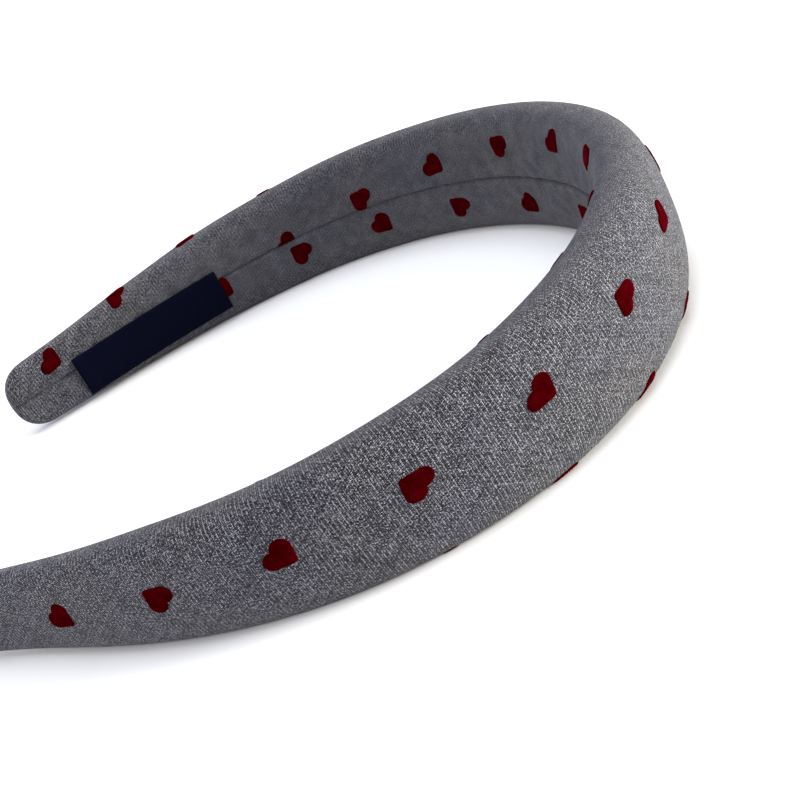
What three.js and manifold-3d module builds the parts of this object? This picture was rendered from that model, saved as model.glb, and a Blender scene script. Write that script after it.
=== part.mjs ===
// A padded headband covered in heather twill with raised flocked hearts, lying on its side.
//
// +X runs out through the crown, -Y towards the near arm, +Z up across the width of the band.
// The band is drawn along its inner face: "along" is the distance from the crown, positive on the
// near arm, and "round" is the distance over the cover from the outer middle line, positive upwards.

import * as THREE from 'three';
import { mergeVertices } from 'three/addons/utils/BufferGeometryUtils.js';
import Module from 'manifold-3d';

const wasm = await Module();
wasm.setup();

// Driving dimensions, in millimetres

const BAND_LENGTH = 380; // along the inner face, from end to end
const CROWN_WIDTH = 32.5; // across the band at its crown
const CROWN_DEPTH = 13.7; // through the padding at its crown
const END_ROUND = 8; // length over which each end rounds off
const SEAM_OPENING = 2.2; // width of the valley where the cover's edges meet
const SEAM_DEPTH = 0.8;
const REST_PRESS = 0.3; // how far the cloth flattens where the band lies on it

const HEART_SIDE = 3.7; // side of the square between a heart's two round lobes
const HEART_POINT_BEVEL = 0.35;
const HEART_THICKNESS = 0.4;
const HEART_CROWNING = 0.12; // how much a heart is thicker in its middle
const HEART_SPACING_ALONG = 22.25;
const HEART_SPACING_ROUND = 19.9;
const FIRST_HEART_ALONG = 135.5; // place of the heart in column 0, row 0
const FIRST_HEART_ROUND = 7.15;
const SEAM_MARGIN = 0.8; // bare cloth between a cut heart and the seam's middle
const END_MARGIN = 5; // bare cloth at each end

const LABEL_LENGTH = 42;
const LABEL_WIDTH = 11;
const LABEL_THICKNESS = 0.7;
const LABEL_FROM_END = 18; // from the far end of the band to the label
const LABEL_DROP = 2.5; // from the seam down to the label's middle line

const FIT_GAP = 0.3; // between the cover and what lies on it

// Shares and angles

const EDGE_SHARE = 0.51; // where in its depth the band is widest, from the inner face
const OUTER_FULLNESS = 2.62; // 2 is an ellipse, more is squarer
const INNER_FULLNESS = 3.29;
const END_FULLNESS = 2.4;
const END_DEPTH_FULLNESS = 4;
const SMALLEST_HEART = 0.3; // share of a heart that is still worth making
const REST_SHARE = 0.58; // where on the arms the band touches, as a share of half its length
const ROW_SLANT = -0.044; // how far a row of hearts climbs for each millimetre along
const COLUMN_SLANT = -0.036;
const BIAS_ANGLE = Math.PI / 4; // the cover is cut on the bias, so its hearts stand at 45 degrees

// The arch from its crown to the end of an arm, in even steps of half the band's length. Heading is
// the angle that the arm has turned through, in degrees; width and depth are shares of the crown's.
const ARCH = [
  { heading: 0.0, width: 1.0, depth: 1.0 },
  { heading: 16.9, width: 0.976, depth: 0.985 },
  { heading: 32.1, width: 0.946, depth: 0.962 },
  { heading: 47.8, width: 0.912, depth: 0.932 },
  { heading: 64.2, width: 0.872, depth: 0.889 },
  { heading: 80.9, width: 0.826, depth: 0.843 },
  { heading: 96.0, width: 0.774, depth: 0.816 },
  { heading: 105.4, width: 0.71, depth: 0.79 },
  { heading: 110.7, width: 0.629, depth: 0.64 },
  { heading: 113.4, width: 0.556, depth: 0.45 },
  { heading: 115.6, width: 0.5, depth: 0.38 },
];

// How finely the solids are faceted

const RINGS = 56; // stretches between rings along the band, without its rounded ends
const END_RINGS = 4;
const RING_FACETS = 13; // from the outer middle line to the seam, on each half
const LOBE_FACETS = 5;
const LABEL_FACETS_ALONG = 6;
const LABEL_FACETS_ACROSS = 6;
const SECTION_STEPS = 120;
const ARCH_STEPS = 760;

const halfLength = BAND_LENGTH / 2;

// A smooth curve through one column of the arch table, at a share of half the band's length.
function archValue(column, share) {
  const last = ARCH.length - 1;
  const place = Math.min(Math.abs(share), 1) * last;
  const row = Math.min(Math.floor(place), last - 1);
  const part = place - row;
  const mirrored = column === 'heading' ? -1 : 1;
  const valueAt = (index) => {
    if (index < 0) return mirrored * ARCH[-index][column];
    if (index > last) return 2 * ARCH[last][column] - ARCH[last - 1][column];
    return ARCH[index][column];
  };
  const [before, from, to, after] = [row - 1, row, row + 1, row + 2].map(valueAt);
  return (
    0.5 *
    (2 * from +
      (to - before) * part +
      (2 * before - 5 * from + 4 * to - after) * part ** 2 +
      (3 * from - before - 3 * to + after) * part ** 3)
  );
}

function headingAt(distance) {
  return THREE.MathUtils.degToRad(archValue('heading', distance / halfLength));
}

// The line of the inner face, walked from the crown to the end of an arm.
function walkArch() {
  const step = halfLength / ARCH_STEPS;
  const line = [{ x: 0, y: 0 }];
  for (let index = 0; index < ARCH_STEPS; index += 1) {
    const middle = headingAt((index + 0.5) * step);
    const { x, y } = line[index];
    line.push({ x: x - Math.sin(middle) * step, y: y - Math.cos(middle) * step });
  }
  return line;
}

const archLine = walkArch();

function archPlace(along) {
  const side = along < 0 ? -1 : 1;
  const place = Math.min(Math.abs(along) / halfLength, 1) * ARCH_STEPS;
  const index = Math.min(Math.floor(place), ARCH_STEPS - 1);
  const part = place - index;
  const heading = side * headingAt(Math.abs(along));
  return {
    x: THREE.MathUtils.lerp(archLine[index].x, archLine[index + 1].x, part),
    y: side * THREE.MathUtils.lerp(archLine[index].y, archLine[index + 1].y, part),
    outX: Math.cos(heading),
    outY: -Math.sin(heading),
  };
}

// Half the width and the whole depth of the band, with the rounding of its ends.
function sizeAt(along) {
  const share = Math.abs(along) / halfLength;
  const rounding = Math.max(0, 1 - (halfLength - Math.abs(along)) / END_ROUND);
  const narrowing = (1 - rounding ** END_FULLNESS) ** (1 / END_FULLNESS);
  const thinning = (1 - rounding ** END_DEPTH_FULLNESS) ** (1 / END_DEPTH_FULLNESS);
  return {
    halfWidth: (CROWN_WIDTH / 2) * archValue('width', share) * narrowing,
    depth: CROWN_DEPTH * archValue('depth', share),
    thinning,
  };
}

// Half of the band's section: a domed outer face and a flatter inner one. Height runs across the
// band and out runs through it, from the inner face.
function sectionAt(along) {
  const { halfWidth, depth, thinning } = sizeAt(along);
  const edge = EDGE_SHARE * depth;
  const points = [];
  for (let step = 0; step <= SECTION_STEPS; step += 1) {
    const turn = (step / SECTION_STEPS) * Math.PI;
    const outer = turn < Math.PI / 2;
    const power = 2 / (outer ? OUTER_FULLNESS : INNER_FULLNESS);
    const height = halfWidth * Math.sin(turn) ** power;
    const reach = Math.abs(Math.cos(turn)) ** power;
    const fullOut = outer ? edge + (depth - edge) * reach : edge - edge * reach;
    const out = depth / 2 + (fullOut - depth / 2) * thinning;
    const previous = points[points.length - 1];
    const walked = previous ? previous.walked + Math.hypot(height - previous.height, out - previous.out) : 0;
    points.push({ height, out, walked });
  }
  return { points, halfGirth: points[SECTION_STEPS].walked };
}

// The height and out of a place on the cover, lifted off it by some distance.
function onSection(section, round, lift) {
  const { points, halfGirth } = section;
  const side = round < 0 ? -1 : 1;
  const walked = Math.min(Math.abs(round), halfGirth);
  let index = points.findIndex((point) => point.walked >= walked);
  index = Math.max(index, 1);
  const from = points[index - 1];
  const to = points[index];
  const part = (walked - from.walked) / (to.walked - from.walked);
  const length = to.walked - from.walked;
  const normalHeight = (from.out - to.out) / length;
  const normalOut = (to.height - from.height) / length;
  return {
    height: side * (THREE.MathUtils.lerp(from.height, to.height, part) + lift * normalHeight),
    out: THREE.MathUtils.lerp(from.out, to.out, part) + lift * normalOut,
  };
}

function spacePoint(along, height, out) {
  const { x, y, outX, outY } = archPlace(along);
  return new THREE.Vector3(x + outX * out, y + outY * out, height);
}

function coverPoint(along, round, lift) {
  const { height, out } = onSection(sectionAt(along), round, lift);
  return spacePoint(along, height, out);
}

// How the band lies: tilted until its crown and both arms touch, then flattened a little there.
function restingPose() {
  const touch = (along) => {
    const { halfWidth, depth } = sizeAt(along);
    const { x, outX } = archPlace(along);
    return { x: x + outX * EDGE_SHARE * depth, low: -halfWidth };
  };
  const crown = touch(0);
  const arm = touch(REST_SHARE * halfLength);
  const tilt = Math.atan((arm.low - crown.low) / (crown.x - arm.x));
  const turn = new THREE.Matrix4().makeRotationY(-tilt);
  const floor = new THREE.Vector3(crown.x, 0, crown.low).applyMatrix4(turn).z + REST_PRESS;
  return new THREE.Matrix4().makeTranslation(0, 0, -floor).multiply(turn);
}

const resting = restingPose();

function closedGeometry(points, triangles) {
  const geometry = new THREE.BufferGeometry();
  const coordinates = points.flatMap((point) => point.clone().applyMatrix4(resting).toArray());
  geometry.setAttribute('position', new THREE.Float32BufferAttribute(coordinates, 3));
  geometry.setIndex(triangles.flat());
  return geometry;
}

function toManifold(geometry) {
  const bare = geometry.clone();
  bare.deleteAttribute('normal');
  bare.deleteAttribute('uv');
  const merged = mergeVertices(bare, 1e-5);
  return new wasm.Manifold(
    new wasm.Mesh({
      numProp: 3,
      vertProperties: new Float32Array(merged.attributes.position.array),
      triVerts: new Uint32Array(merged.index.array),
    }),
  );
}

function fromManifold(solid) {
  const { vertProperties, triVerts } = solid.getMesh();
  const geometry = new THREE.BufferGeometry();
  geometry.setAttribute('position', new THREE.BufferAttribute(new Float32Array(vertProperties), 3));
  geometry.setIndex(new THREE.BufferAttribute(new Uint32Array(triVerts), 1));
  return geometry;
}

// Takes off what would reach below a level plane, and keeps the largest piece that is left.
function cutBelow(geometry, level) {
  geometry.computeBoundingBox();
  if (geometry.boundingBox.min.z >= level) return geometry;
  const size = 2 * BAND_LENGTH;
  const ground = new THREE.BoxGeometry(size, size, CROWN_WIDTH);
  ground.translate(0, 0, level - CROWN_WIDTH / 2);
  const pieces = toManifold(geometry).subtract(toManifold(ground)).decompose();
  if (!pieces.length) return null;
  return fromManifold(pieces.reduce((most, piece) => (piece.volume() > most.volume() ? piece : most)));
}

// The padded band: rings of points over the cover, closed at both ends, with the seam as a valley.
function paddedBandGeometry() {
  const inside = halfLength - END_ROUND;
  const stations = [];
  for (let step = 0; step < END_RINGS; step += 1) {
    const turn = ((step + 0.35) / END_RINGS) * (Math.PI / 2);
    stations.push(-inside - END_ROUND * Math.cos(turn));
  }
  for (let step = 0; step <= RINGS; step += 1) stations.push(-inside + (2 * inside * step) / RINGS);
  stations.push(...stations.slice(0, END_RINGS).reverse().map((along) => -along));

  const points = [];
  const ringSize = 2 * RING_FACETS + 2;
  for (const along of stations) {
    const section = sectionAt(along);
    const opening = Math.min(SEAM_OPENING / 2, section.halfGirth / (RING_FACETS + 1));
    const shoulder = section.halfGirth - opening;
    const valley = Math.min(SEAM_DEPTH, sizeAt(along).halfWidth / 4);
    for (let step = -RING_FACETS; step <= RING_FACETS; step += 1) {
      points.push(coverPoint(along, (shoulder * step) / RING_FACETS, 0));
    }
    points.push(coverPoint(along, section.halfGirth, -valley));
  }

  const triangles = [];
  for (let ring = 0; ring < stations.length - 1; ring += 1) {
    for (let step = 0; step < ringSize; step += 1) {
      const here = ring * ringSize + step;
      const beside = ring * ringSize + ((step + 1) % ringSize);
      triangles.push([here, beside, here + ringSize]);
      triangles.push([beside, beside + ringSize, here + ringSize]);
    }
  }
  const lastRing = (stations.length - 1) * ringSize;
  for (const [firstPoint, along, flipped] of [
    [0, -halfLength, true],
    [lastRing, halfLength, false],
  ]) {
    const tip = points.length;
    points.push(spacePoint(along, 0, sizeAt(along).depth / 2));
    for (let step = 0; step < ringSize; step += 1) {
      const here = firstPoint + step;
      const beside = firstPoint + ((step + 1) % ringSize);
      triangles.push(flipped ? [beside, here, tip] : [here, beside, tip]);
    }
  }
  return cutBelow(closedGeometry(points, triangles), 0);
}

// A heart's outline about its centre of area, pointing along +u: a square on its corner with a
// half circle on each of the two sides behind.
function heartOutline() {
  const side = HEART_SIDE;
  const radius = side / 2;
  const lobeArea = (Math.PI * radius ** 2) / 2;
  const lobeShift = radius + (4 * radius) / (3 * Math.PI);
  const centre = (-lobeShift * lobeArea) / (side ** 2 + 2 * lobeArea);
  const outline = [
    [radius, 0],
    [radius, radius - HEART_POINT_BEVEL],
    [radius - HEART_POINT_BEVEL, radius],
    [0, radius],
  ];
  for (let step = 0; step <= LOBE_FACETS; step += 1) {
    const turn = Math.PI / 2 + (Math.PI * step) / LOBE_FACETS;
    outline.push([-radius + radius * Math.cos(turn), radius * Math.sin(turn)]);
  }
  for (let step = 1; step <= LOBE_FACETS; step += 1) {
    const turn = Math.PI + (Math.PI * step) / LOBE_FACETS;
    outline.push([radius * Math.cos(turn), -radius + radius * Math.sin(turn)]);
  }
  const untilt = BIAS_ANGLE - Math.PI / 4;
  return outline.map(([u, v]) => [u - centre, v - centre]).map(([u, v]) => [
    u * Math.cos(untilt) - v * Math.sin(untilt),
    u * Math.sin(untilt) + v * Math.cos(untilt),
  ]);
}

// Keeps the part of an outline where room is positive.
function clipOutline(outline, room) {
  return outline.flatMap((point, index) => {
    const next = outline[(index + 1) % outline.length];
    const here = room(point);
    const there = room(next);
    const kept = here >= 0 ? [point] : [];
    if (here * there < 0) {
      const part = here / (here - there);
      kept.push([
        THREE.MathUtils.lerp(point[0], next[0], part),
        THREE.MathUtils.lerp(point[1], next[1], part),
      ]);
    }
    return kept;
  });
}

function outlineArea(outline) {
  return outline.reduce((sum, [u, v], index) => {
    const [nextU, nextV] = outline[(index + 1) % outline.length];
    return sum + (u * nextV - nextU * v) / 2;
  }, 0);
}

// Each heart of the print as an outline on the cover, in (along, round). Every second one is
// turned half round, and what the seam or the ends take in is cut off.
function heartOutlines() {
  const shape = heartOutline();
  const wholeArea = Math.abs(outlineArea(shape));
  const columnsBehind = Math.ceil((halfLength + FIRST_HEART_ALONG) / HEART_SPACING_ALONG);
  const columnsAhead = Math.ceil((halfLength - FIRST_HEART_ALONG) / HEART_SPACING_ALONG);
  const rowsEachWay = Math.ceil((CROWN_WIDTH + CROWN_DEPTH) / HEART_SPACING_ROUND);
  const label = labelPlace();
  const outlines = [];
  for (let column = -columnsAhead; column <= columnsBehind; column += 1) {
    for (let row = -rowsEachWay; row <= rowsEachWay; row += 1) {
      const turn = (column + row) % 2 === 0 ? 1 : -1;
      const printAlong = FIRST_HEART_ALONG - HEART_SPACING_ALONG * column;
      const printRound = FIRST_HEART_ROUND + HEART_SPACING_ROUND * row;
      const placed = shape.map(([u, v]) => {
        const along = printAlong + turn * u;
        const round = printRound + turn * v;
        return [along + COLUMN_SLANT * round, round + ROW_SLANT * along];
      });
      const endRoom = ([along]) => halfLength - END_MARGIN - Math.abs(along);
      const inEnds = clipOutline(placed, endRoom);
      const seamRoom = ([along, round]) => sectionAt(along).halfGirth - SEAM_MARGIN - Math.abs(round);
      const kept = inEnds.length ? clipOutline(inEnds, seamRoom) : [];
      const largeEnough = kept.length > 2 && Math.abs(outlineArea(kept)) > wholeArea * SMALLEST_HEART;
      if (largeEnough && !kept.some((point) => label.covers(point))) outlines.push(kept);
    }
  }
  return outlines;
}

// A thin patch that lies on the cover. From the middle of its underside, rings of points run out to
// the rim, up, and in over a raised top.
function heartGeometry(outline) {
  const count = outline.length;
  const middle = [0, 1].map((axis) => outline.reduce((sum, point) => sum + point[axis], 0) / count);
  const ringAt = (share, lift) =>
    outline.map((point) => {
      const [along, round] = point.map((value, axis) => THREE.MathUtils.lerp(middle[axis], value, share));
      return coverPoint(along, round, lift);
    });
  const rim = FIT_GAP + HEART_THICKNESS;
  const crown = rim + HEART_CROWNING;
  const rings = [
    ringAt(0.5, FIT_GAP),
    ringAt(1, FIT_GAP),
    ringAt(1, rim),
    ringAt(0.6, crown),
  ];
  const points = [...rings.flat(), coverPoint(...middle, FIT_GAP), coverPoint(...middle, crown)];
  const underMiddle = rings.length * count;
  const topMiddle = underMiddle + 1;
  const topRing = (rings.length - 1) * count;
  const triangles = [];
  for (let index = 0; index < count; index += 1) {
    const next = (index + 1) % count;
    triangles.push([underMiddle, next, index]);
    for (let ring = 0; ring < topRing; ring += count) {
      triangles.push([ring + index, ring + next, ring + count + index]);
      triangles.push([ring + next, ring + count + next, ring + count + index]);
    }
    triangles.push([topRing + index, topRing + next, topMiddle]);
  }
  const outwards = outlineArea(outline) > 0 ? triangles.map(([a, b, c]) => [a, c, b]) : triangles;
  const whole = closedGeometry(points, outwards);
  const rested = cutBelow(whole, FIT_GAP / 2);
  const keepsEnough = rested && toManifold(rested).volume() > toManifold(whole).volume() * SMALLEST_HEART;
  return keepsEnough ? rested : null;
}

// Where the label lies on the far arm's inner face, and whether it covers a place on the cover.
function labelPlace() {
  const outerEnd = -(halfLength - LABEL_FROM_END);
  const innerEnd = outerEnd + LABEL_LENGTH;
  const top = LABEL_WIDTH / 2 - LABEL_DROP;
  const covers = ([along, round]) => {
    const section = sectionAt(along);
    const { height, out } = onSection(section, round, 0);
    const onInnerFace = out < sizeAt(along).depth * EDGE_SHARE;
    const beside = along > outerEnd - FIT_GAP && along < innerEnd + FIT_GAP;
    return onInnerFace && beside && height < top + FIT_GAP && height > top - LABEL_WIDTH - FIT_GAP;
  };
  return { outerEnd, top, covers };
}

// The bare woven label: a thin slab bent over the inner face, across the seam.
function labelGeometry() {
  const { outerEnd, top } = labelPlace();
  const innerFace = (along, height) => {
    const { halfWidth, depth } = sizeAt(along);
    const edge = EDGE_SHARE * depth;
    const share = Math.min(Math.abs(height) / halfWidth, 1);
    return edge - edge * (1 - share ** INNER_FULLNESS) ** (1 / INNER_FULLNESS);
  };
  const points = [];
  const rows = LABEL_FACETS_ACROSS + 1;
  for (const lift of [FIT_GAP, FIT_GAP + LABEL_THICKNESS]) {
    for (let step = 0; step <= LABEL_FACETS_ALONG; step += 1) {
      const along = outerEnd + (LABEL_LENGTH * step) / LABEL_FACETS_ALONG;
      for (let across = 0; across < rows; across += 1) {
        const height = top - (LABEL_WIDTH * across) / LABEL_FACETS_ACROSS;
        points.push(spacePoint(along, height, innerFace(along, height) - lift));
      }
    }
  }
  const layer = rows * (LABEL_FACETS_ALONG + 1);
  const triangles = [];
  const addQuad = (a, b, c, d) => triangles.push([a, b, c], [a, c, d]);
  for (let step = 0; step < LABEL_FACETS_ALONG; step += 1) {
    for (let across = 0; across < LABEL_FACETS_ACROSS; across += 1) {
      const corner = step * rows + across;
      const under = [corner, corner + 1, corner + rows + 1, corner + rows];
      addQuad(...[...under].reverse());
      addQuad(...under.map((index) => index + layer));
    }
  }
  const rim = [];
  for (let step = 0; step < LABEL_FACETS_ALONG; step += 1) rim.push(step * rows);
  for (let across = 0; across < LABEL_FACETS_ACROSS; across += 1) rim.push(LABEL_FACETS_ALONG * rows + across);
  for (let step = LABEL_FACETS_ALONG; step > 0; step -= 1) rim.push(step * rows + rows - 1);
  for (let across = LABEL_FACETS_ACROSS; across > 0; across -= 1) rim.push(across);
  rim.forEach((index, place) => {
    const next = rim[(place + 1) % rim.length];
    addQuad(index + layer, next + layer, next, index);
  });
  return closedGeometry(points, triangles);
}

// Materials

const heatherTwill = new THREE.MeshStandardMaterial({ color: 0x6f7180, roughness: 0.95, metalness: 0 });
const wineFlock = new THREE.MeshStandardMaterial({ color: 0x5a0814, roughness: 0.9, metalness: 0 });
const darkRibbon = new THREE.MeshStandardMaterial({ color: 0x0d0e1a, roughness: 0.7, metalness: 0 });

// The headband

function namedMesh(name, geometry, material) {
  const mesh = new THREE.Mesh(geometry, material);
  mesh.name = name;
  return mesh;
}

const headband = new THREE.Group();
headband.add(namedMesh('padded_band', paddedBandGeometry(), heatherTwill));
const hearts = heartOutlines().map(heartGeometry).filter((geometry) => geometry !== null);
hearts.forEach((geometry, index) => {
  const number = String(index + 1).padStart(2, '0');
  headband.add(namedMesh(`heart_${number}`, geometry, wineFlock));
});
headband.add(namedMesh('label', labelGeometry(), darkRibbon));

// The origin is under the middle of the whole headband, on the surface that it lies on.
const extent = new THREE.Box3().setFromObject(headband);
headband.position.x = -(extent.min.x + extent.max.x) / 2;
headband.position.y = -(extent.min.y + extent.max.y) / 2;

export default headband;
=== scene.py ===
# %% [markdown]
# # A padded headband in heather twill with flocked hearts
#
# The real thing is a bent plastic hoop under a thick strip of foam. One piece of cloth, cut on the
# bias, wraps the foam and closes in a seam along the inner face. Wine-red hearts of velvet flock are
# printed on the cloth, and a small dark ribbon label is laid over the seam near one end.
#
# Every length here is in metres. The packed model is loaded first and never moved: it says how large
# the headband is and where it lies, and each piece below takes the place of one of its solids.

import math

import bpy
import numpy as np
from mathutils import Matrix, Quaternion, Vector, noise


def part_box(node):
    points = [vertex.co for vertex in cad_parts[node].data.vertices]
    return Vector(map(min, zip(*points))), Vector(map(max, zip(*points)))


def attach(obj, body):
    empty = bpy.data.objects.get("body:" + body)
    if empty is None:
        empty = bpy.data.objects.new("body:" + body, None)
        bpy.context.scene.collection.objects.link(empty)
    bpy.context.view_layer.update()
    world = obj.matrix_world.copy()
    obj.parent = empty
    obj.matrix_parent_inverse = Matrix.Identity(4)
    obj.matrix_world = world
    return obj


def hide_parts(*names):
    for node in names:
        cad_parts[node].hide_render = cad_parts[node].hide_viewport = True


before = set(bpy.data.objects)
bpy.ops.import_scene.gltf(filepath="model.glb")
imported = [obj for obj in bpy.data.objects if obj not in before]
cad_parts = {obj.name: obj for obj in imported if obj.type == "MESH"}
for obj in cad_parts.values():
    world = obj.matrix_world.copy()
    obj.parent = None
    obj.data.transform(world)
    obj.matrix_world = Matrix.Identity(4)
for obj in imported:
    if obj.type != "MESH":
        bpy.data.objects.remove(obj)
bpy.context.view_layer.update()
MM = 0.001

# %% [markdown]
# ## The camera
#
# The photograph looks down on the hoop over its near arm, and the camera is rolled, so that the hoop
# runs from the lower left to the upper right. A camera that tracks a point stands upright, so the
# roll is a turn about its own axis, added after the tracking.

# %% Set the camera
CAMERA_PLACE = Vector((0.04365, -0.28337, 0.13635))
CAMERA_AIM = Vector((0.01368, -0.01334, -0.00023))
CAMERA_ROLL = math.radians(-25.25)
CAMERA_LENS = 65.77  # in millimetres, on a sensor 36 mm wide

camera = bpy.data.objects.new("camera", bpy.data.cameras.new("camera"))
bpy.context.scene.collection.objects.link(camera)
bpy.context.scene.camera = camera
camera.data.lens = CAMERA_LENS
camera.data.sensor_width = 36
camera.data.clip_start = 0.01
camera.location = CAMERA_PLACE
camera.rotation_mode = "QUATERNION"
tracking = (CAMERA_AIM - CAMERA_PLACE).to_track_quat("-Z", "Y")
camera.rotation_quaternion = tracking @ Quaternion((0, 0, 1), CAMERA_ROLL)
print("camera is", round((CAMERA_AIM - CAMERA_PLACE).length / MM), "mm from what it looks at")

# %% [markdown]
# ## The sizes of the band
#
# The band is described along its inner face. "Along" is the distance from the crown, positive on the
# near arm, and "around" is the distance over the cloth from the outer middle line, positive upwards.
# These two numbers are also where a point lies on the flat cloth, so they will be its UV map.

# %% Name the sizes
BAND_LENGTH = 380 * MM
CROWN_WIDTH = 32.5 * MM
CROWN_DEPTH = 13.7 * MM
END_ROUND = 8 * MM  # length over which each end rounds off
REST_PRESS = 0.3 * MM  # how far the foam gives where the band lies on the floor
HALF_LENGTH = BAND_LENGTH / 2

EDGE_SHARE = 0.51  # where in its depth the band is widest, from the inner face
OUTER_FULLNESS = 2.62  # 2 is an ellipse, more is squarer
INNER_FULLNESS = 3.29
END_FULLNESS = 2.4
END_DEPTH_FULLNESS = 4
REST_SHARE = 0.58  # where the arms touch the floor, as a share of half the length

# The arch from its crown to the end of an arm, in even steps. Heading is the angle that the arm has
# turned through, in degrees; width and depth are shares of the crown's.
ARCH_COLUMNS = ("heading", "width", "depth")
ARCH = [
    (0.0, 1.0, 1.0),
    (16.9, 0.976, 0.985),
    (32.1, 0.946, 0.962),
    (47.8, 0.912, 0.932),
    (64.2, 0.872, 0.889),
    (80.9, 0.826, 0.843),
    (96.0, 0.774, 0.816),
    (105.4, 0.71, 0.79),
    (110.7, 0.629, 0.64),
    (113.4, 0.556, 0.45),
    (115.6, 0.5, 0.38),
]
print("band:", BAND_LENGTH / MM, "mm long,", CROWN_WIDTH / MM, "mm wide at its crown")

# %% [markdown]
# ## The line of the arch
#
# A spline through each column of the table gives a smooth heading, width and depth anywhere along
# the band. Walking in small steps in the direction of the heading then draws the inner face's line,
# which is how a real hoop bends: its length is fixed, and only its curvature changes.

# %% Read the arch table as smooth curves
def arch_value(column, along):
    """A Catmull-Rom curve through one column of the table, at distances from the crown."""
    table = np.array([row[ARCH_COLUMNS.index(column)] for row in ARCH])
    before_crown = -table[1] if column == "heading" else table[1]
    past_end = 2 * table[-1] - table[-2]
    knots = np.concatenate([[before_crown], table, [past_end]])
    last = len(table) - 1
    place = np.minimum(np.abs(along) / HALF_LENGTH, 1) * last
    row = np.minimum(np.floor(place).astype(int), last - 1)
    part = place - row
    before, start, end, after = (knots[row + step] for step in range(4))
    return 0.5 * (
        2 * start
        + (end - before) * part
        + (2 * before - 5 * start + 4 * end - after) * part**2
        + (3 * start - before - 3 * end + after) * part**3
    )


print("heading at the ends:", arch_value("heading", HALF_LENGTH), "degrees")

# %% Walk the line of the inner face
ARCH_STEPS = 760

walk_at = np.linspace(0, HALF_LENGTH, ARCH_STEPS + 1)
walk_step = HALF_LENGTH / ARCH_STEPS
walk_heading = np.radians(arch_value("heading", walk_at[:-1] + walk_step / 2))
walk_x = np.concatenate([[0], np.cumsum(-np.sin(walk_heading) * walk_step)])
walk_y = np.concatenate([[0], np.cumsum(-np.cos(walk_heading) * walk_step)])


def arch_place(along):
    """Where the inner face is, and the direction out of the hoop, in plan."""
    side = np.where(np.asarray(along) < 0, -1, 1)
    distance = np.abs(along)
    heading = side * np.radians(arch_value("heading", distance))
    place = np.stack([np.interp(distance, walk_at, walk_x), side * np.interp(distance, walk_at, walk_y)], -1)
    return place, np.stack([np.cos(heading), -np.sin(heading)], -1)


print("an arm ends at", (arch_place(HALF_LENGTH)[0] / MM).round(1), "mm from the crown")

# %% [markdown]
# ## The section of the band
#
# Cut across, the band is a domed outer face over a flatter inner one. Two half superellipses that
# share their widest line draw it with four numbers. Its points are also measured along the cloth, so
# that a distance "around" can be turned into a place.

# %% Draw a section
SECTION_STEPS = 240


def size_at(along):
    """Half the width, the depth, and how far the rounded end thins it."""
    rounding = max(0.0, 1 - (HALF_LENGTH - abs(along)) / END_ROUND)
    narrowing = max(0.0, 1 - rounding**END_FULLNESS) ** (1 / END_FULLNESS)
    thinning = max(0.0, 1 - rounding**END_DEPTH_FULLNESS) ** (1 / END_DEPTH_FULLNESS)
    half_width = CROWN_WIDTH / 2 * float(arch_value("width", along)) * narrowing
    return half_width, CROWN_DEPTH * float(arch_value("depth", along)), thinning


def section_at(along):
    """Height and out of points from the outer middle line to the seam, and how far each has walked."""
    half_width, depth, thinning = size_at(along)
    edge = EDGE_SHARE * depth
    turn = np.linspace(0, math.pi, SECTION_STEPS + 1)
    outer = turn < math.pi / 2
    power = np.where(outer, 2 / OUTER_FULLNESS, 2 / INNER_FULLNESS)
    reach = np.abs(np.cos(turn)) ** power
    full_out = np.where(outer, edge + (depth - edge) * reach, edge - edge * reach)
    height = half_width * np.sin(turn).clip(0) ** power
    out = depth / 2 + (full_out - depth / 2) * thinning
    walked = np.concatenate([[0], np.cumsum(np.hypot(np.diff(height), np.diff(out)))])
    return height, out, walked


print("cloth round the crown:", round(2 * section_at(0)[2][-1] / MM, 1), "mm")

# %% [markdown]
# ## How it lies
#
# A hoop put down on its side leans until its crown and both arms touch. The tilt follows from the
# heights of those two places. The last step moves the form to where the packed band is, whose box
# gives the far end in x and the middle in y.

# %% Find the resting pose
def low_place(along):
    """The lowest point of an upright section: its distance out along x, and its height."""
    half_width, depth, _ = size_at(along)
    place, out = arch_place(along)
    return place[0] + out[0] * EDGE_SHARE * depth, -half_width


crown_out, crown_low = low_place(0.0)
arm_out, arm_low = low_place(REST_SHARE * HALF_LENGTH)
tilt = math.atan((arm_low - crown_low) / (crown_out - arm_out))
leaning = Matrix.Rotation(-tilt, 4, "Y")
floor_height = (leaning @ Vector((crown_out, 0, crown_low))).z + REST_PRESS
band_low, band_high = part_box("padded_band")
band_shift = Vector((
    band_high.x - CROWN_DEPTH * math.cos(tilt),
    (band_high.y + band_low.y) / 2,
    -floor_height,
))
resting = np.array(Matrix.Translation(band_shift) @ leaning)
print("tilt:", round(math.degrees(tilt), 2), "degrees, shift in mm:", [round(part / MM, 2) for part in band_shift])


def rest(points):
    """Lays points of the upright form down."""
    return points @ resting[:3, :3].T + resting[:3, 3]


# %% [markdown]
# ## The cloth over the foam
#
# The cover is a grid of rings. A place on a ring is a share of the way round, from the outer middle
# line at 0 to the seam at 1 or -1. From the section's slope there, the form also gets the direction
# that points straight out of the cloth, because every fold and swell is a lift in that direction.

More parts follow.
